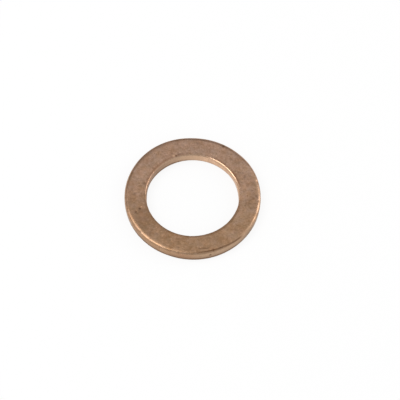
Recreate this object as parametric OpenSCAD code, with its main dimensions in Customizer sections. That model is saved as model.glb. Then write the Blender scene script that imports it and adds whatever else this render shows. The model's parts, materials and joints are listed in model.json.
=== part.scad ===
// Copper crush washer: a flat sealing ring, blanked from annealed sheet, that a bolt head
// crushes against a port face. It lies on its underside, with the bore on the Z axis and
// the underside at Z = 0.

/* [Ring] */
// Outside diameter, over the burnished part of the rim
outer_d = 17.9; // [14:0.1:30]
// Bore diameter, over the burnished part of its wall
bore_d = 12.2; // [6:0.1:15.5]
// Thickness between the two sealing faces
thickness = 1.5; // [1:0.1:3]

/* [Edges] */
// Radius of the rim's upper edge, drawn over as the sheet was blanked
roll_r = 0.4; // [0.2:0.05:0.6]
// Radius of the bore's upper edge
mouth_r = 0.18; // [0.05:0.01:0.3]
// Radius that tumbling left on the rim's lower edge
heel_r = 0.2; // [0.05:0.01:0.4]
// Radius that tumbling left on the bore's lower edge
throat_r = 0.12; // [0.05:0.01:0.3]

/* [Sheared walls] */
// Height of the torn band, from the underside up to the burnished wall
torn_h = 0.5; // [0.4:0.05:0.65]
// How far the torn band has drawn back from the burnished wall at the underside
torn_back = 0.05; // [0.02:0.01:0.12]

/* [Hidden] */
$fn = 180;
tarnished_copper = [0.61, 0.49, 0.40];

outer_r = outer_d / 2;
bore_r = bore_d / 2;

// Corners of the section before its edges are rounded, as [radius, height]
rim_top = [outer_r, thickness];
rim_tear = [outer_r, torn_h];
rim_heel = [outer_r - torn_back, 0];
bore_throat = [bore_r + torn_back, 0];
bore_tear = [bore_r, torn_h];
bore_mouth = [bore_r, thickness];

// An edge's arc is drawn this much over its radius, so that it crosses the two faces
// that it joins, by about a degree, where a true tangent would only touch them
crossing = 1.0002;

// Direction from one point to another, with a length of 1
function towards(from, to) = (to - from) / norm(to - from);

// What a rounding of radius r takes off a convex corner between its neighbours.
// The waste runs out past both faces, to the arc's centre mirrored in each of them.
module corner_waste(previous, corner, next, r) {
    along_previous = towards(corner, previous);
    along_next = towards(corner, next);
    inward = towards([0, 0], along_previous + along_next);
    half_angle = acos(along_previous * along_next) / 2;
    centre = corner + inward * r / sin(half_angle);
    foot = r / tan(half_angle);
    foot_previous = corner + along_previous * foot;
    foot_next = corner + along_next * foot;
    difference() {
        polygon([
            centre,
            2 * foot_previous - centre,
            corner - inward * r,
            2 * foot_next - centre
        ]);
        translate(centre) circle(r * crossing);
    }
}

// Section of the ring, to the right of its axis
module ring_section() {
    difference() {
        polygon([bore_throat, rim_heel, rim_tear, rim_top, bore_mouth, bore_tear]);
        corner_waste(rim_tear, rim_top, bore_mouth, roll_r);
        corner_waste(rim_top, bore_mouth, bore_tear, mouth_r);
        corner_waste(bore_tear, bore_throat, rim_heel, throat_r);
        corner_waste(bore_throat, rim_heel, rim_tear, heel_r);
    }
}

module copper_washer() {
    color(tarnished_copper) rotate_extrude() ring_section();
}

copper_washer();
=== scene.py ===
import json
import math
import random

import bmesh
import bpy
from mathutils import Matrix, Quaternion, Vector, kdtree, noise


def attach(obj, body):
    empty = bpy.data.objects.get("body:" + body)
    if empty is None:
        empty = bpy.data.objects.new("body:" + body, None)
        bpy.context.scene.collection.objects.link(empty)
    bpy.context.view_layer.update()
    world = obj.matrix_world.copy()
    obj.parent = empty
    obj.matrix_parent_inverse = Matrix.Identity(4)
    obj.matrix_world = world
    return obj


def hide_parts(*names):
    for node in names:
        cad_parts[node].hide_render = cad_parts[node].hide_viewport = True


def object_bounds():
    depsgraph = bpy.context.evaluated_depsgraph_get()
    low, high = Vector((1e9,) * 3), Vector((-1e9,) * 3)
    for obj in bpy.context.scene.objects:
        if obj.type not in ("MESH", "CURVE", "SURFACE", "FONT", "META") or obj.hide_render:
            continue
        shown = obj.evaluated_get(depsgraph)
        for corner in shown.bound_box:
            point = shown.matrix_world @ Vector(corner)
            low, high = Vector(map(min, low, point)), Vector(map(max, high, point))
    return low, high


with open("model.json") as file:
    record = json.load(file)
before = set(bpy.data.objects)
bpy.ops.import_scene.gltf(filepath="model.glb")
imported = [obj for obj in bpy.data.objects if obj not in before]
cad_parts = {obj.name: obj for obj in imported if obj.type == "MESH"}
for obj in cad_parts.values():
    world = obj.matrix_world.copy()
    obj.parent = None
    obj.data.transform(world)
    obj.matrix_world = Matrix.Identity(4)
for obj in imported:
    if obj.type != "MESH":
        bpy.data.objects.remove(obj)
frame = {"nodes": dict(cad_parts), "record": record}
cadLow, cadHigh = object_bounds()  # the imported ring's own box, in metres
mm = 0.001
print("frame loaded:", sorted(frame["nodes"]))


# Node helpers

def addNode(tree, kind, sockets=None, **settings):
    made = tree.nodes.new(kind)
    for name, value in settings.items():
        setattr(made, name, value)
    for name, value in (sockets or {}).items():
        if isinstance(value, bpy.types.NodeSocket):
            tree.links.new(value, made.inputs[name])
        else:
            made.inputs[name].default_value = value
    return made


def newMaterial(name):
    made = bpy.data.materials.new(name)
    made.use_nodes = True
    made.node_tree.nodes.clear()
    return made, made.node_tree


def mixColour(tree, share, under, over, blend="MIX"):
    sockets = {0: share, 6: under, 7: over}  # the mix node keeps its colours at 6 and 7
    return addNode(tree, "ShaderNodeMix", sockets, data_type="RGBA", blend_type=blend).outputs[2]


def mixValue(tree, share, under, over):
    return addNode(tree, "ShaderNodeMix", {0: share, 2: under, 3: over}).outputs[0]


def remap(tree, value, fromLow, fromHigh, toLow=0.0, toHigh=1.0):
    sockets = {0: value, 1: fromLow, 2: fromHigh, 3: toLow, 4: toHigh}
    return addNode(tree, "ShaderNodeMapRange", sockets, interpolation_type="SMOOTHSTEP").outputs[0]


def combine(tree, operation, first, second):
    return addNode(tree, "ShaderNodeMath", {0: first, 1: second}, operation=operation).outputs[0]


def times(tree, first, second):
    return combine(tree, "MULTIPLY", first, second)


def plus(tree, first, second):
    return combine(tree, "ADD", first, second)


def minus(tree, first, second):
    return combine(tree, "SUBTRACT", first, second)


def larger(tree, first, second):
    return combine(tree, "MAXIMUM", first, second)


# Copper: tarnished on the faces, rubbed bright on the edges, dull where the sheet tore, with painted
# shade and painted highlights in places

copper = {
    "darkOchre": (0.327, 0.189, 0.098, 1),
    "darkRose": (0.362, 0.218, 0.143, 1),
    "paleOchre": (0.488, 0.300, 0.181, 1),
    "paleRose": (0.543, 0.351, 0.260, 1),
    # polished copper, also the colour of painted highlights
    "burnished": (0.93, 0.61, 0.40, 1),
    "grazing": (0.85, 0.78, 0.72, 1),  # tint of the metal's glancing shine
    "tornDark": (0.20, 0.118, 0.072, 1),
    "tornPale": (0.50, 0.315, 0.205, 1),
    # also the colour of painted shade
    "oxideAndShade": (0.095, 0.046, 0.021, 1),
    "faded": (0.44, 0.305, 0.207, 1),
    "reddened": (0.34, 0.16, 0.085, 1),
    "coolBlush": (0.963, 1.009, 1.055, 1),  # tints over the tarnish
    "warmBlush": (1.037, 0.991, 0.945, 1),
    "clouds": {  # waves in a mm, detail, and where each is moved to
        "patches": (0.5, 3, (0, 0, 0)),
        "mottle": (1.9, 3, (4, 1, 0)),
        "blots": (5.0, 3, (9, 5, 2)),
        "grain": (18.0, 2, (0, 7, 3)),
        "hue": (1.3, 3, (2, 8, 6)),
        "blush": (0.9, 5, (6, 3, 1)),
    },
    "cloudRoughness": 0.6,
    "limits": {  # where a pattern starts and is whole, then what it gives at each, if not 0 and 1
        "tone": (0.36, 0.64),
        "hue": (0.25, 0.75, 0.35, 1.05),
        "ochreSide": (-0.6, 1.0),
        "blush": (0.3, 0.7),
        "scores": (0.35, 0.65),
        "rubbedBlots": (0.25, 0.6, 0.75, 1.0),
        "scratches": (0.62, 0.74),
        "tear": (0.85, 1.25),
        "tornGrain": (0.35, 0.7),
        "speck": (0.04, 0.26, 0.42, 0.0),  # in cells: dark in the middle, gone at the edge
        "speckChance": (0.35, 0.9),
        "stainBlots": (0.3, 0.6, 0.65, 1.0),
        "faceRoughness": (0.3, 0.7, 0.27, 0.39),
        "burnishRelief": (0.1, 1.0, 1.0, 0.15),
        "glossRelief": (0.0, 1.0, 1.0, 0.4),
    },
    "patchShare": 0.3,  # of the tarnish's tone
    "mottleShare": 0.3,
    "blotShare": 0.4,
    "streakShare": 0.3,  # of the rubbed metal, drawn in streaks
    "scoreSize": (0.07, 0.07, 2.4),  # mm, drawn up the walls
    "scratchTurns": (12, 49, 97, 158),  # degrees round the bore's axis
    "scratchSize": (2.6, 0.055, 0.055),  # mm, along and across
    "scratchApart": 3.7,  # mm from one direction's pattern to the next
    "scratchGloss": 0.25,
    "tongueShare": 0.35,  # of the scores and the grain in the torn band's ragged line
    "grainShare": 0.8,
    "specksPerMm": 2.3,
    "burnishedRoughness": 0.25,
    "tornRoughness": 0.6,
    "oxideRoughness": 0.62,
    "blotRelief": 0.8,  # heights beside the grain's own
    "scratchRelief": 0.5,
    "reliefDepth": 0.004,  # mm
    "tornDepth": 0.016,
}


def copperFinish():
    material, tree = newMaterial("tarnishedCopper")
    place = addNode(tree, "ShaderNodeTexCoord").outputs["Object"]
    inMm = addNode(tree, "ShaderNodeMapping", {"Vector": place, "Scale": (1 / mm,) * 3}).outputs[0]

    def cloud(name):
        perMm, detail, seat = copper["clouds"][name]
        moved = addNode(tree, "ShaderNodeMapping", {"Vector": inMm, "Location": seat}).outputs[0]
        sockets = {"Vector": moved, "Scale": perMm, "Detail": detail}
        sockets["Roughness"] = copper["cloudRoughness"]
        return addNode(tree, "ShaderNodeTexNoise", sockets).outputs[0]

    def streaks(size, turn=0.0, seat=0.0):
        sockets = {"Vector": inMm, "Location": (seat,) * 3, "Scale": size}
        sockets["Rotation"] = (0, 0, math.radians(turn))
        drawn = addNode(tree, "ShaderNodeMapping", sockets, vector_type="TEXTURE").outputs[0]
        sockets = {"Vector": drawn, "Scale": 1.0, "Detail": 2}
        return addNode(tree, "ShaderNodeTexNoise", sockets).outputs[0]

    def attribute(name):
        return addNode(tree, "ShaderNodeAttribute", attribute_name=name).outputs["Fac"]

    def limited(value, name):
        return remap(tree, value, *copper["limits"][name])

    patches, mottle = cloud("patches"), cloud("mottle")
    blots, grain = cloud("blots"), cloud("grain")
    scores = limited(streaks(copper["scoreSize"]), "scores")

    # Tarnish, mottled from dark to pale and from ochre to rose
    tone = times(tree, patches, copper["patchShare"])
    tone = plus(tree, tone, times(tree, mottle, copper["mottleShare"]))
    tone = plus(tree, tone, times(tree, blots, copper["blotShare"]))
    hue = limited(cloud("hue"), "hue")
    hue = limited(minus(tree, hue, attribute("ochre")), "ochreSide")
    dark = mixColour(tree, hue, copper["darkOchre"], copper["darkRose"])
    pale = mixColour(tree, hue, copper["paleOchre"], copper["paleRose"])
    colour = mixColour(tree, limited(tone, "tone"), dark, pale)
    blush = limited(cloud("blush"), "blush")
    tint = mixColour(tree, blush, copper["coolBlush"], copper["warmBlush"])
    colour = mixColour(tree, 1.0, colour, tint, "MULTIPLY")
    for look in ("faded", "reddened"):
        colour = mixColour(tree, attribute(look), colour, copper[look])

    # Edges and walls rubbed bright, the walls in streaks that the die drew; the rub carries painted
    # highlights and painted sheen too
    streaked = plus(tree, times(tree, scores, copper["streakShare"]), 1 - copper["streakShare"])
    rubbedAndSheen = times(tree, attribute("burnish"), limited(blots, "rubbedBlots"))
    rubbedAndSheen = times(tree, rubbedAndSheen, streaked)
    colour = mixColour(tree, rubbedAndSheen, colour, copper["burnished"])

    # Fine scratches from tumbling, in a few directions
    scratches = None
    for count, turn in enumerate(copper["scratchTurns"]):
        hair = streaks(copper["scratchSize"], turn, count * copper["scratchApart"])
        hair = limited(hair, "scratches")
        scratches = hair if scratches is None else larger(tree, scratches, hair)
    glint = times(tree, scratches, copper["scratchGloss"])
    colour = mixColour(tree, glint, colour, copper["burnished"])

    # Torn metal, ragged along its upper line
    tongues = times(tree, scores, copper["tongueShare"])
    torn = plus(tree, attribute("torn"), times(tree, grain, copper["grainShare"]))
    torn = limited(plus(tree, torn, tongues), "tear")
    crumbled = mixColour(tree, limited(grain, "tornGrain"), copper["tornDark"], copper["tornPale"])
    colour = mixColour(tree, torn, colour, crumbled)

    # Oxide: scattered specks, and the stains that the ring carries, among them painted shade
    cells = addNode(tree, "ShaderNodeTexVoronoi", {"Vector": inMm, "Scale": copper["specksPerMm"]})
    chance = addNode(tree, "ShaderNodeSeparateColor", {0: cells.outputs["Color"]}).outputs[0]
    speck = limited(cells.outputs["Distance"], "speck")
    speck = times(tree, speck, limited(chance, "speckChance"))
    stainAndShade = times(tree, attribute("stainAndShade"), limited(blots, "stainBlots"))
    oxideAndShade = larger(tree, speck, stainAndShade)
    colour = mixColour(tree, oxideAndShade, colour, copper["oxideAndShade"])

    rough = limited(mottle, "faceRoughness")
    rough = mixValue(tree, attribute("gloss"), rough, copper["burnishedRoughness"])
    rough = mixValue(tree, glint, rough, copper["burnishedRoughness"])
    rough = mixValue(tree, torn, rough, copper["tornRoughness"])
    rough = mixValue(tree, oxideAndShade, rough, copper["oxideRoughness"])

    # Fine relief, calmer where the metal is rubbed, with the torn band's crumbs over it
    relief = plus(tree, grain, times(tree, blots, copper["blotRelief"]))
    relief = minus(tree, relief, times(tree, scratches, copper["scratchRelief"]))
    relief = minus(tree, relief, speck)
    relief = times(tree, relief, limited(attribute("burnish"), "burnishRelief"))
    relief = times(tree, relief, limited(attribute("gloss"), "glossRelief"))
    bump = addNode(tree, "ShaderNodeBump", {
        "Height": relief, "Distance": copper["reliefDepth"] * mm,
    })
    crumbs = times(tree, torn, grain)
    bump = addNode(tree, "ShaderNodeBump", {
        "Height": crumbs, "Distance": copper["tornDepth"] * mm, "Normal": bump.outputs[0],
    })
    shader = addNode(tree, "ShaderNodeBsdfPrincipled", {
        "Base Color": colour, "Roughness": rough, "Normal": bump.outputs[0], "Metallic": 1.0,
        "Specular Tint": copper["grazing"],
    })
    addNode(tree, "ShaderNodeOutputMaterial", {"Surface": shader.outputs[0]})
    return material


# The ring: a section with rounded corners, spun round the bore

washer = {  # mm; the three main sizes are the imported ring's own, the edges repeat its source
    "outerRadius": min(cadHigh.x, cadHigh.y) / mm,
    "thickness": cadHigh.z / mm,
    "boreRadius": frame["record"]["mounts"][0]["dims"]["r_mm"],
    "rollRadius": 0.4,
    "rollSpread": 1.5,  # the roll runs this much further in over the face than down the rim
    "mouthRadius": 0.18,
    "heelRadius": 0.2,
    "throatRadius": 0.12,
    "tornHeight": 0.5,
    "tornBack": 0.05,
    "upperArcSteps": 8,
    "lowerArcSteps": 4,
    "fineStep": 0.075,
    "undersideStep": 0.14,
    "slices": 20,
    "sliceSteps": 45,
    "mergeDistance": 1e-4,
    "slack": 1.01,  # a rounding reaches this much further when its points are picked out
}


def roundCorner(section, corner, radius, steps):
    ways = [edge.other_vert(corner).co - corner.co for edge in corner.link_edges]
    tangent = radius / math.tan(ways[0].angle(ways[1]) / 2)
    bmesh.ops.bevel(
        section, geom=[corner], offset=tangent, offset_type="OFFSET", affect="VERTICES",
        segments=steps, profile=0.5, material=-1,
    )


def drawSection():
    outer, bore, top = washer["outerRadius"], washer["boreRadius"], washer["thickness"]
    back, tear = washer["tornBack"], washer["tornHeight"]
    outline = [  # radius, height, rounding
        (bore + back, 0, washer["throatRadius"]),
        (outer - back, 0, washer["heelRadius"]),
        (outer, tear, 0),
        (outer, top, washer["rollRadius"]),
        (bore, top, washer["mouthRadius"]),
        (bore, tear, 0),
    ]
    section = bmesh.new()
    corners = [section.verts.new((radius, 0, height)) for radius, height, rounding in outline]
    for here, there in zip(corners, corners[1:] + corners[:1]):
        section.edges.new((here, there))
    for corner, (radius, height, rounding) in zip(corners, outline):
        if rounding:
            steps = washer["upperArcSteps"] if height else washer["lowerArcSteps"]
            roundCorner(section, corner, rounding, steps)
    rollStart = outer - washer["rollRadius"] * washer["slack"]
    tearTop = tear * washer["slack"]
    rolled = [vert for vert in section.verts if vert.co.x > rollStart and vert.co.z > tearTop]
    fromRim = Matrix.Translation((-outer, 0, 0))
    bmesh.ops.scale(section, vec=(washer["rollSpread"], 1, 1), space=fromRim, verts=rolled)
    for edge in section.edges[:]:
        highest = max(vert.co.z for vert in edge.verts)
        step = washer["fineStep"] if highest > 0 else washer["undersideStep"]
        bmesh.ops.subdivide_edges(section, edges=[edge], cuts=int(edge.calc_length() / step))
    return section


def spinRing():
    ring = drawSection()
    slices = washer["slices"]
    sliceTurn = math.tau / slices
    about = {"cent": (0, 0, 0), "axis": (0, 0, 1), "dvec": (0, 0, 0)}
    drawn = ring.verts[:] + ring.edges[:]
    bmesh.ops.spin(ring, geom=drawn, angle=sliceTurn, steps=washer["sliceSteps"], **about)
    firstSlice = ring.verts[:] + ring.edges[:] + ring.faces[:]
    bmesh.ops.spin(
        ring, geom=firstSlice, angle=math.tau * (slices - 1) / slices, steps=slices - 1,
        use_duplicate=True, **about,
    )
    bmesh.ops.remove_doubles(ring, verts=ring.verts[:], dist=washer["mergeDistance"])
    bmesh.ops.recalc_face_normals(ring, faces=ring.faces[:])
    ring.normal_update()
    return ring


# Wear, pressed into the spun ring, with painted shade and painted highlights among it

wear = {  # mm and degrees; a depth goes in from the surface; facing is 1 on the level, 0 upright
    "seed": 7,
    "peel": ((1.1, 0.007), (3.3, 0.005)),  # waves in a mm, depth
    "edgeCalm": 0.85,  # the rolled and rubbed edges are this much smoother
    "dings": 430,
    "dingMargin": 0.25,  # from the roundings
    "dingReach": (0.09, 0.34),
    "dingSlope": 0.065,  # depth for each mm of reach
    "dingLooks": ((0.0, 0.1), (0.0, 0.0), (0.3, 0.0)),  # stain and rub, one pair for each mark
    "nicks": 10,
    "nickReach": (0.12, 0.42),
    "nickSlope": 0.10,
    "flatFacing": 0.999,  # dings lie on the flats from here up, and on the walls below the next
    "wallFacing": 0.1,
    "edgeFacing": (0.25, 0.97),  # nicks lie between these
    "tornFacing": (0.5, 0.85),  # walls can tear up to the first, and not at all from the second
    "tearWander": ((0.35, 0.09), (1.7, 0.06)),  # waves in a mm, height
    "tearSoftness": 0.07,
    "tearStep": 0.012,
    "tearDepth": 0.02,
    "tearWaves": (3, 0.8),  # in a mm, round the ring and up it
    "pitWaves": 4.5,
    "pitShare": 0.5,
    "tearPolish": 1.4,  # the punch rubbed the torn band too, where it polished the bore
    "scoreDepth": 0.006,
    "scoreWaves": (6, 0.4),
    "scorePolish": 0.8,  # polish takes off this share of the scores
    "falloff": 4,  # power by which red, fading and tarnish die away
    "ochreMiddle": 0.5,  # share of ochre between the front, which has more, and the back
    "sheenSide": 42,  # painted sheen: the bore wall is drawn brighter towards this side
    "sheenSpread": (-0.15, 0.85),  # cosines from that side, where the painted sheen starts and is whole
    "rimPolish": 0.05,
    # polish of the bore wall, with painted sheen towards that side
    "borePolishAndSheen": 0.68,
    "boreShade": 0.38,  # painted shade on the bore wall away from that side
    "fadedRim": (298, 0.85),  # the rim's wall has faded on this side, and by how much
    "fadedBore": (112, 0.85),
    "landTurn": 45,  # the mouth's rounding is rubbed flat from the face to this slope
    "landSide": 45,
    "landSpread": (0.88, 0.97),  # cosines from that side, where the land starts and is whole
    "landFacing": (0.98, 0.95),  # its polish starts and is whole at these
    # polish on the land, with a painted highlight along it
    "landPolishAndSheen": 1.35,
    "landBorder": 0.01,  # radians off its border that still count as on it
    "landCrisp": 0.3,  # share of the land from which its borders are crisp
    "landEnd": (1.12, 0.14, 0.35),  # height, reach and stain of the line under the land
    "wallTop": (1.40, 1.28),  # the bore wall's own polish starts and is whole at these heights
    "footShadeHeights": (1.02, 0.55),  # painted shade: the rim's wall darkens towards the floor between these heights
    "footShadeAmount": 0.35,
    "wallShadeSide": (327, 18, 1.3, 1.0, 0.45),  # angle, spread, heights, how dark: painted shade on the rim's wall up to the roll
    "redSide": (263, 18, 0.5),  # angle, spread, and how red the rim's wall is there
    "boreSqueeze": ((178, 24, 0.085), (10, 24, 0.085)),  # angle, spread, how far in the wall stands
    "squeezeHeights": (1.35, 1.0),  # it starts and is whole at these
    "squeezeReach": 0.4,
    "tighterEdges": {  # middle and spread of the angle, share taken off the rounding
        "roll": ((127, 42, 0.62), (28, 22, 0.35), (198, 14, 0.2)),
        "heel": ((287, 36, 0.6), (345, 20, 0.4), (240, 24, -0.5)),
        "mouth": ((48, 52, 0.68), (116, 34, 0.6), (300, 45, 0.4)),
        "throat": ((140, 60, 0.65),),
    },
    "spots": {  # angle, radius, height, reach, depth, stain, rub, red; the pimple stands in its hollow; the ...Shade spots carry painted shade in the stain
        "pimpleHollow": (114.0, 6.50, 1.5, 0.44, 0.011, 0.14, 0.0, 0.2),
        "struckPimple": (114.3, 6.51, 1.5, 0.25, -0.015, 0.0, 0.9, 0.4),
        "pimplePit": (111.5, 6.38, 1.5, 0.20, 0.02, 1.0, 0.0),
        "leftPit": (198.4, 7.21, 1.5, 0.32, 0.022, 0.9, 0.0),
        "leftOuterPit": (200.7, 7.83, 1.5, 0.30, 0.022, 0.95, 0.0),
        "leftBlush": (205.7, 7.33, 1.5, 0.45, 0.0, 0.0, 0.2, 0.5),
        "rightPaleSpot": (309.3, 6.90, 1.5, 0.17, 0.004, 0.0, 0.4),
        "leftPaleSpot": (235.1, 6.85, 1.5, 0.17, 0.004, 0.0, 0.4),
        "frontSpeck": (254.1, 6.77, 1.5, 0.15, 0.012, 0.45, 0.0),
        "frontRightSpeck": (287.0, 6.92, 1.5, 0.15, 0.012, 0.4, 0.0),
        "lineStart": (273.0, 8.60, 1.49, 0.20, 0.01, 0.4, 0.0),
        "frontRollSpeck": (269.3, 8.58, 1.49, 0.20, 0.01, 0.3, 0.0),
        "lineSpot": (289.5, 8.61, 1.48, 0.26, 0.02, 1.0, 0.0, 0.7),
        "wallSpot": (286.2, 8.95, 0.96, 0.28, 0.015, 1.0, 0.0),
        "lineGap": (231.5, 8.56, 1.49, 0.30, 0.0, 0.45, 0.0),
        "leftMouthPaleSpot": (173.7, 6.79, 1.5, 0.40, 0.0, 0.0, 0.12),
        "rightFrontPaleSpot": (327.3, 7.65, 1.5, 0.36, 0.0, 0.0, 0.12),
        "farDarkSpot": (102.2, 7.89, 1.5, 0.34, 0.006, 0.2, 0.0),
        "rightPaleArea": (329, 7.95, 1.5, 1.0, 0.0, 0.0, 0.12),
        "mouthPaleSpot": (32.0, 6.62, 1.5, 0.28, 0.0, 0.0, 0.24),
        "landShade": (61.4, 6.12, 1.42, 0.26, 0.0, 0.24, 0.0),
        "boreFootShade": (69, 6.10, 0.25, 0.80, 0.0, 0.15, 0.0),
        "wallRub": (245, 8.95, 1.0, 0.8, 0.0, 0.0, 0.1),
        "rimShade": (342.7, 8.82, 1.42, 0.64, 0.0, 0.36, 0.0),
        "leftMouthShade": (182.3, 6.17, 1.45, 0.40, 0.0, 0.5, 0.0),
        "smearFoot": (350.9, 7.09, 1.5, 0.32, 0.0, 0.26, 0.0),
        "smearMiddle": (355.1, 7.62, 1.5, 0.34, 0.0, 0.36, 0.0),
        "smearHeart": (357.6, 7.99, 1.5, 0.36, 0.004, 0.5, 0.0),
        "smearHead": (359.9, 8.34, 1.5, 0.30, 0.004, 0.45, 0.0),
        "farNick": (62.9, 8.62, 1.46, 0.38, 0.04, 1.0, 0.0),
    },
    "faceShade": {  # painted shade, darker parts of the face: angle, radius, reach, how dark
        "lowerLeftShade": (212, 8.4, 5.6, 0.29),
        "leftFaceShade": (176, 8.3, 2.8, 0.15),
        "frontFaceShade": (275, 8.0, 4.5, 0.12),
        "backLeftShade": (157, 8.15, 1.0, 0.13),
    },
    "lines": {  # from angle and radius, to angle and radius, half width, depth, stain, rub, red; some lines carry painted shade in the stain and painted highlights in the rub, as marked
        # a scored groove whose dark stain is partly painted shade
        "scoredShadeLine": (272.5, 8.56, 303, 8.65, 0.14, 0.02, 0.85, 0.0, 0.35),
        "scoredShadeEnd": (297, 8.65, 319, 8.80, 0.14, 0.012, 0.66, 0.0, 0.4),
        "innerLine": (275.5, 7.94, 288, 8.22, 0.13, 0.008, 0.65, 0.0, 0.3),
        "innerShine": (277, 8.30, 288, 8.44, 0.12, 0.0, 0.0, 0.12),
        "smear": (350.5, 7.05, 360.5, 8.50, 0.30, 0.0, 0.20),
        # painted shade along the far rim
        "farRimShade": (38, 8.68, 178, 8.68, 0.30, 0.0, 0.45),
        # painted highlights along the right rim
        "rightRimHighlight": (1, 8.58, 32, 8.62, 0.24, 0.0, 0.0, 0.3),
        "paintedRightGlint": (346, 8.86, 363, 8.88, 0.10, 0.0, 0.0, 0.3),
        "frontRoll": (314, 8.66, 344, 8.80, 0.22, 0.0, 0.0, 0.18),
        # painted shade along the bore's near mouth
        "nearMouthShade": (179, 6.30, 262, 6.30, 0.26, 0.0, 0.40),
        "frontMouthShade": (245, 6.30, 357, 6.30, 0.26, 0.0, 0.52),
        "rightMouthRed": (12, 6.36, 40, 6.31, 0.18, 0.0, 0.10, 0.0, 0.9),
        "upperMouthRed": (42, 6.34, 66, 6.34, 0.14, 0.0, 0.10, 0.0, 0.6),
        "farMouthRed": (94, 6.32, 174, 6.36, 0.24, 0.0, 0.13, 0.0, 0.4),
        "rightMouthRub": (350, 6.15, 386, 6.19, 0.14, 0.0, 0.0, 0.45),
        # painted highlight on the left mouth
        "leftMouthHighlight": (154, 6.16, 178, 6.16, 0.14, 0.0, 0.0, 0.2),
        "leftRimRub": (174, 8.58, 189, 8.66, 0.16, 0.0, 0.0, 0.35, 0.35),
    },
    "lineFacing": 0.5,  # lines lie only where the ring looks up at least this far
    "lineTaper": 6,  # a line fades over one part in this many at each end
}


# Shares, turns and places on the ring

def clamp(value):
    return max(0, min(value, 1))


def ramp(value, start, whole):
    return clamp((value - start) / (whole - start))


def hump(off):  # 1 in the middle, gone where off is 1
    return max(0, 1 - off * off) ** 2


def turnOf(vert):
    return math.atan2(vert.co.y, vert.co.x)


def nearTurn(turnRound, middle, spread):
    return hump(((math.degrees(turnRound) - middle + 180) % 360 - 180) / spread)


def sumNear(turnRound, places):
    return sum(most * nearTurn(turnRound, middle, spread) for middle, spread, most in places)


def polar(angle, radius, height):
    turn = math.radians(angle)
    return Vector((radius * math.cos(turn), radius * math.sin(turn), height))


def stretched(place, across, up):
    return Vector((place.x * across, place.y * across, place.z * up))


def ripple(place):  # smooth noise from 0 to 1
    return 0.5 + 0.5 * noise.noise(place)


# Marks, each a depth and the looks that come with it

def press(vert, layers, amount, depth, stainAndShade=0.0, rubAndSheen=0.0, red=0.0):
    vert.co -= vert.normal * depth * amount
    for name, most in (("stainAndShade", stainAndShade), ("burnish", rubAndSheen), ("reddened", red)):
        vert[layers[name]] = max(vert[layers[name]], most * amount)


def pressSpot(ring, finder, layers, spot, reach, *pressed):
    for place, index, distance in finder.find_range(spot, reach):
        press(ring.verts[index], layers, hump(distance / reach), *pressed)


def pressLine(ring, layers, fromAngle, fromRadius, toAngle, toRadius, halfWidth, *pressed):
    for vert in ring.verts:
        if vert.normal.z < wear["lineFacing"]:
            continue
        along = (math.degrees(turnOf(vert)) - fromAngle) % 360 / (toAngle - fromAngle)
        off = (vert.co.xy.length - fromRadius - (toRadius - fromRadius) * along) / halfWidth
        if along < 1 and abs(off) < 1:
            ends = min(1, wear["lineTaper"] * along, wear["lineTaper"] * (1 - along))
            press(vert, layers, ends * hump(off), *pressed)


def landShare(turnRound):
    near = math.cos(turnRound - math.radians(wear["landSide"]))
    return ramp(near, *wear["landSpread"])


def flattenLand(ring):
    rounding, land = washer["mouthRadius"], math.radians(wear["landTurn"])
    midRadius, midHeight = washer["boreRadius"] + rounding, washer["thickness"] - rounding
    borders = set()
    for vert in ring.verts:
        radius = vert.co.xy.length
        inwards, upwards = midRadius - radius, vert.co.z - midHeight
        if inwards < -washer["mergeDistance"] or upwards < 0:
            continue
        slope = math.atan2(inwards, upwards)
        if min(abs(slope), abs(slope - land)) < wear["landBorder"]:
            borders.add(vert)
        if slope < land:
            flatRadius = midRadius - rounding * math.sin(land) * slope / land
            flatHeight = midHeight + rounding * (1 - (1 - math.cos(land)) * slope / land)
            share = landShare(turnOf(vert))
            vert.co.xy *= (radius + (flatRadius - radius) * share) / radius
            vert.co.z += (flatHeight - vert.co.z) * share
    for edge in ring.edges:
        if borders.issuperset(edge.verts) and landShare(turnOf(edge.verts[0])) > wear["landCrisp"]:
            edge.smooth = False  # a crisp edge along both sides of the land


def tightenEdges(ring):
    outer, bore, top = washer["outerRadius"], washer["boreRadius"], washer["thickness"]
    roll, heel = washer["rollRadius"], washer["heelRadius"]
    mouth, throat = washer["mouthRadius"], washer["throatRadius"]
    corners = {  # radius and height of the corner, and how far its rounding reaches from there
        "roll": (outer, top, roll * washer["rollSpread"], roll),
        "heel": (outer - washer["tornBack"], 0, heel, heel),
        "mouth": (bore, top, mouth, mouth),
        "throat": (bore + washer["tornBack"], 0, throat, throat),
    }
    slack = washer["slack"]
    for vert in ring.verts:
        turnRound, radius = turnOf(vert), vert.co.xy.length
        for name, places in wear["tighterEdges"].items():
            cornerRadius, cornerHeight, inwards, upwards = corners[name]
            across, up = radius - cornerRadius, vert.co.z - cornerHeight
            if abs(across) > inwards * slack or abs(up) > upwards * slack:
                continue
            keep = 1 - sumNear(turnRound, places)
            vert.co.xy *= (cornerRadius + across * keep) / radius
            vert.co.z = cornerHeight + up * keep
    ring.normal_update()


def squeezeBore(ring):
    bore, reach = washer["boreRadius"], wear["squeezeReach"]
    for vert in ring.verts:
        radius = vert.co.xy.length
        share = max(0, 1 - (radius - bore) / reach) * ramp(vert.co.z, *wear["squeezeHeights"])
        inwards = sumNear(turnOf(vert), wear["boreSqueeze"])
        vert.co.xy *= 1 - inwards * min(1, share) / radius
    ring.normal_update()


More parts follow.
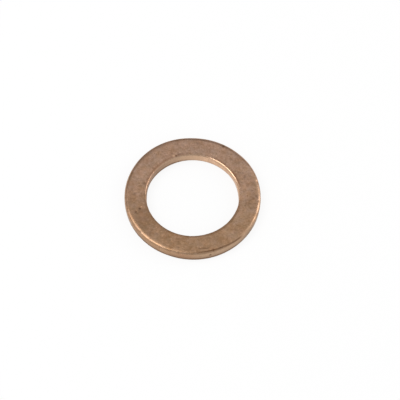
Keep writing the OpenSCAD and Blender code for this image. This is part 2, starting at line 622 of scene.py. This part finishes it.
def polishRing(ring, layers):
    outer, bore = washer["outerRadius"], washer["boreRadius"]
    endHeight, endReach, endStain = wear["landEnd"]
    shadeAngle, shadeSpread, shadeFrom, shadeWhole, sideShadeAmount = wear["wallShadeSide"]
    redAngle, redSpread, red = wear["redSide"]
    for vert in ring.verts:
        radius, height, turnRound = vert.co.xy.length, vert.co.z, turnOf(vert)
        rim = clamp((radius - outer) / washer["rollRadius"] + 1)
        mouth = clamp((bore - radius) / washer["mouthRadius"] + 1)
        near = math.cos(turnRound - math.radians(wear["sheenSide"]))
        sheenShare = ramp(near, *wear["sheenSpread"])
        below = ramp(height, *wear["wallTop"])
        keen = landShare(turnRound)

        # Burnished walls, with painted sheen on the bore wall towards one side, and the land at the
        # bore's mouth with a painted highlight along it
        land = keen * ramp(vert.normal.z, *wear["landFacing"]) * (1 - below) if mouth else 0
        boreRubAndSheen = mouth * below * wear["borePolishAndSheen"] * sheenShare
        vert[layers["burnish"]] = rim * wear["rimPolish"] + max(boreRubAndSheen, land * wear["landPolishAndSheen"])
        vert[layers["gloss"]] = math.sqrt(max(rim, mouth))

        # Painted shade on the rim's wall towards the floor and on one side of it, and on the bore wall
        # away from the sheen; a stain along the land's lower line
        footShade = rim * ramp(height, *wear["footShadeHeights"])
        shadedBore = mouth * below * math.sqrt(1 - sheenShare)
        paintedShade = footShade * wear["footShadeAmount"] + shadedBore * wear["boreShade"]
        landEnd = keen * mouth * max(0, 1 - ((height - endHeight) / endReach) ** 2)
        wallShadeSide = rim * nearTurn(turnRound, shadeAngle, shadeSpread)
        wallShadeSide *= ramp(height, shadeFrom, shadeWhole)
        vert[layers["stainAndShade"]] = max(paintedShade, landEnd * endStain, wallShadeSide * sideShadeAmount)

        # Red and faded sides of the walls, and a face that is more ochre at the front
        onSide = nearTurn(turnRound, redAngle, redSpread)
        vert[layers["reddened"]] = rim ** wear["falloff"] * red * onSide
        for wall, (fadedSide, fading) in ((rim, wear["fadedRim"]), (mouth, wear["fadedBore"])):
            facing = max(0, math.cos(math.radians(fadedSide) - turnRound))
            faded = wall * fading * facing ** wear["falloff"]
            vert[layers["faded"]] = max(vert[layers["faded"]], faded)
        vert[layers["ochre"]] = wear["ochreMiddle"] - vert.co.y / (outer + bore)


def tearWalls(ring, layers):
    for vert in ring.verts:
        wall = 1 - ramp(abs(vert.normal.z), *wear["tornFacing"])
        if not wall:
            continue
        foot = stretched(vert.co, 1, 0)
        wander = sum(high * noise.noise(foot * waves) for waves, high in wear["tearWander"])
        above = vert.co.z - (washer["tornHeight"] + wander)
        torn = clamp(0.5 - above / wear["tearSoftness"]) * wall
        polishAndSheen = vert[layers["burnish"]]
        vert[layers["torn"]] = torn * max(0, 1 - wear["tearPolish"] * polishAndSheen)
        tears = max(0, noise.noise(stretched(vert.co, *wear["tearWaves"])))
        tears += wear["pitShare"] * max(0, noise.noise(vert.co * wear["pitWaves"]))
        scores = ripple(stretched(vert.co, *wear["scoreWaves"]))
        scored = (wall - torn) * wear["scoreDepth"] * (1 - wear["scorePolish"] * min(1, polishAndSheen))
        sunk = torn * (wear["tearStep"] + wear["tearDepth"] * tears) + scored * scores
        vert.co -= vert.normal * sunk


# Painted shade: parts of the face drawn darker
def shadeFace(ring, finder, layers):
    for angle, radius, reach, stainAndShade in wear["faceShade"].values():
        middle = polar(angle, radius, washer["thickness"])
        for place, index, distance in finder.find_range(middle, reach):
            vert = ring.verts[index]
            facing = max(0, vert.normal.z) ** wear["falloff"]
            press(vert, layers, hump(distance / reach) * facing, 0.0, stainAndShade)


def tumbleRing(ring, finder, layers):
    chance = random.Random(wear["seed"])
    for vert in ring.verts:
        peel = sum(deep * ripple(vert.co * waves) for waves, deep in wear["peel"])
        vert.co -= vert.normal * peel * (1 - wear["edgeCalm"] * vert[layers["gloss"]])
    lowest, highest = wear["edgeFacing"]
    edges = [vert for vert in ring.verts if lowest < vert.normal.z < highest]
    least = washer["boreRadius"] + washer["mouthRadius"] + wear["dingMargin"]
    most = washer["outerRadius"] - washer["rollRadius"] * washer["rollSpread"] - wear["dingMargin"]
    faces = []
    for vert in ring.verts:
        facing = abs(vert.normal.z)
        onFlat = facing > wear["flatFacing"] and least < vert.co.xy.length < most
        if onFlat or facing < wear["wallFacing"]:
            faces.append(vert)
    for count, verts, reaches, slope in (
        (wear["dings"], faces, wear["dingReach"], wear["dingSlope"]),
        (wear["nicks"], edges, wear["nickReach"], wear["nickSlope"]),
    ):
        for mark in range(count):
            struck = verts[chance.randrange(len(verts))]
            reach = chance.uniform(*reaches)
            stainAndShade, rubAndSheen = chance.choice(wear["dingLooks"])
            pressSpot(ring, finder, layers, struck.co.copy(), reach, slope * reach, stainAndShade, rubAndSheen)


def buildWasher():
    ring = spinRing()
    looks = ("burnish", "gloss", "ochre", "torn", "stainAndShade", "faded", "reddened")
    layers = {name: ring.verts.layers.float.new(name) for name in looks}
    ring.verts.ensure_lookup_table()
    flattenLand(ring)
    tightenEdges(ring)
    squeezeBore(ring)
    finder = kdtree.KDTree(len(ring.verts))
    for vert in ring.verts:
        finder.insert(vert.co, vert.index)
    finder.balance()
    polishRing(ring, layers)
    tearWalls(ring, layers)
    shadeFace(ring, finder, layers)
    tumbleRing(ring, finder, layers)
    for angle, radius, height, *pressed in wear["spots"].values():
        pressSpot(ring, finder, layers, polar(angle, radius, height), *pressed)
    for line in wear["lines"].values():
        pressLine(ring, layers, *line)
    bmesh.ops.scale(ring, vec=(mm,) * 3, verts=ring.verts[:])
    for face in ring.faces:
        face.smooth = True
    data = bpy.data.meshes.new("copperWasher")
    ring.to_mesh(data)
    ring.free()
    data.materials.append(copperFinish())
    piece = bpy.data.objects.new("copperWasher", data)
    bpy.context.scene.collection.objects.link(piece)
    return piece


copperWasher = buildWasher()
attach(copperWasher, "root")
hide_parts("copper_washer")
print("washer:", len(copperWasher.data.polygons), "faces")


# Studio: a white floor, a pale room with a dim far side, and two soft boxes

studio = {
    "floorHalf": 3.0,
    "floorColour": (0.97, 0.97, 0.97, 1),
    "floorGlow": 0.87,  # share of the floor's look that shadow doesn't reach
    "roomHorizon": 1.0,
    "roomZenith": 0.77,
    "roomRise": (0.17, 0.95),  # heights from the horizon's level to the zenith's, as sines
    "dimRise": (0.17, 0.30),  # heights of the far side's dim patch
    "dimFall": (0.60, 0.84),
    "dimAzimuth": 110,
    "dimBehind": (0.25, 0.7),
    "dimDepth": 0.62,
    "frontRise": (0.45, 0.75),  # heights of the near side's dim patch
    "frontBefore": (0.1, 0.6),
    "frontDepth": 0.28,
    "softBoxes": {  # azimuth, elevation, distance, width, height, radiance
        "leftBox": (183, 58, 0.25, 0.13, 0.14, 3.2),
        "rightBox": (21, 24, 0.25, 0.09, 0.13, 2.6),
    },
}


def towards(azimuth, elevation):
    turn, lift = math.radians(azimuth), math.radians(elevation)
    flat = math.cos(lift)
    return Vector((math.cos(turn) * flat, math.sin(turn) * flat, math.sin(lift)))


def layFloor():
    sheet = bmesh.new()
    bmesh.ops.create_grid(sheet, x_segments=1, y_segments=1, size=studio["floorHalf"])
    data = bpy.data.meshes.new("floor")
    sheet.to_mesh(data)
    sheet.free()
    material, tree = newMaterial("whiteFloor")
    paper = addNode(tree, "ShaderNodeBsdfDiffuse", {"Color": studio["floorColour"]}).outputs[0]
    glow = addNode(tree, "ShaderNodeEmission", {"Strength": 1.0}).outputs[0]
    ray = addNode(tree, "ShaderNodeLightPath").outputs
    seen = larger(tree, ray["Is Camera Ray"], ray["Is Glossy Ray"])
    seen = larger(tree, seen, ray["Is Transmission Ray"])
    share = times(tree, seen, studio["floorGlow"])
    mixed = addNode(tree, "ShaderNodeMixShader", {0: share, 1: paper, 2: glow})
    addNode(tree, "ShaderNodeOutputMaterial", {"Surface": mixed.outputs[0]})
    data.materials.append(material)
    floor = bpy.data.objects.new("floor", data)
    floor.location.z = cadLow.z
    bpy.context.scene.collection.objects.link(floor)


def paintRoom():
    room = bpy.data.worlds.new("paleRoom")
    room.use_nodes = True
    tree = room.node_tree
    tree.nodes.clear()
    way = addNode(tree, "ShaderNodeTexCoord").outputs["Generated"]
    parts = addNode(tree, "ShaderNodeSeparateXYZ", {0: way}).outputs
    height, before = parts["Z"], times(tree, parts["Y"], -1.0)
    sockets = {0: way, 1: towards(studio["dimAzimuth"], 0)}
    behind = addNode(tree, "ShaderNodeVectorMath", sockets, operation="DOT_PRODUCT").outputs["Value"]
    level = remap(tree, height, *studio["roomRise"], studio["roomHorizon"], studio["roomZenith"])

    # The far side's dim patch, then the near side's
    dim = remap(tree, height, *studio["dimRise"])
    dim = times(tree, dim, remap(tree, behind, *studio["dimBehind"]))
    dim = times(tree, dim, remap(tree, height, *studio["dimFall"], studio["dimDepth"], 0.0))
    front = times(tree, remap(tree, height, *studio["frontRise"]), studio["frontDepth"])
    front = times(tree, front, remap(tree, before, *studio["frontBefore"]))
    level = times(tree, level, minus(tree, 1.0, plus(tree, dim, front)))
    paint = addNode(tree, "ShaderNodeBackground", {"Color": (1, 1, 1, 1), "Strength": level})
    addNode(tree, "ShaderNodeOutputWorld", {"Surface": paint.outputs[0]})
    bpy.context.scene.world = room


def hangSoftBoxes():
    for name, (azimuth, elevation, distance, width, height, radiance) in studio["softBoxes"].items():
        lamp = bpy.data.lights.new(name, "AREA")
        lamp.shape = "RECTANGLE"
        lamp.size, lamp.size_y = width, height
        lamp.energy = radiance * math.pi * width * height
        box = bpy.data.objects.new(name, lamp)
        way = towards(azimuth, elevation)
        box.location = way * distance
        box.rotation_euler = way.to_track_quat("Z", "Y").to_euler()
        bpy.context.scene.collection.objects.link(box)


layFloor()
paintRoom()
hangSoftBoxes()
bpy.context.scene.view_settings.view_transform = "Standard"
print("studio: floor, room and", len(studio["softBoxes"]), "soft boxes")


# Camera, above and in front of the ring

shot = {
    "azimuth": -90,
    "elevation": 59.97,
    "tilt": 1.48,  # the picture leans this far, in degrees
    "distance": 0.2164,
    "lens": 148.2,
    "sensor": 36.0,
    "clip": (0.01, 20),
    "aimRight": 0.97,  # mm from the ring's middle, across the picture
    "aimDown": 0.32,
}


def placeCamera():
    lens = bpy.data.cameras.new("shot")
    lens.lens, lens.sensor_width = shot["lens"], shot["sensor"]
    lens.clip_start, lens.clip_end = shot["clip"]
    camera = bpy.data.objects.new("shot", lens)
    back = towards(shot["azimuth"], shot["elevation"])
    turned = (-back).to_track_quat("-Z", "Y") @ Quaternion((0, 0, 1), math.radians(shot["tilt"]))
    aim = turned @ Vector((shot["aimRight"], -shot["aimDown"], 0)) * mm
    camera.location = (cadLow + cadHigh) / 2 + aim + back * shot["distance"]
    camera.rotation_mode = "QUATERNION"
    camera.rotation_quaternion = turned
    bpy.context.scene.collection.objects.link(camera)
    bpy.context.scene.camera = camera


placeCamera()
print("camera placed")
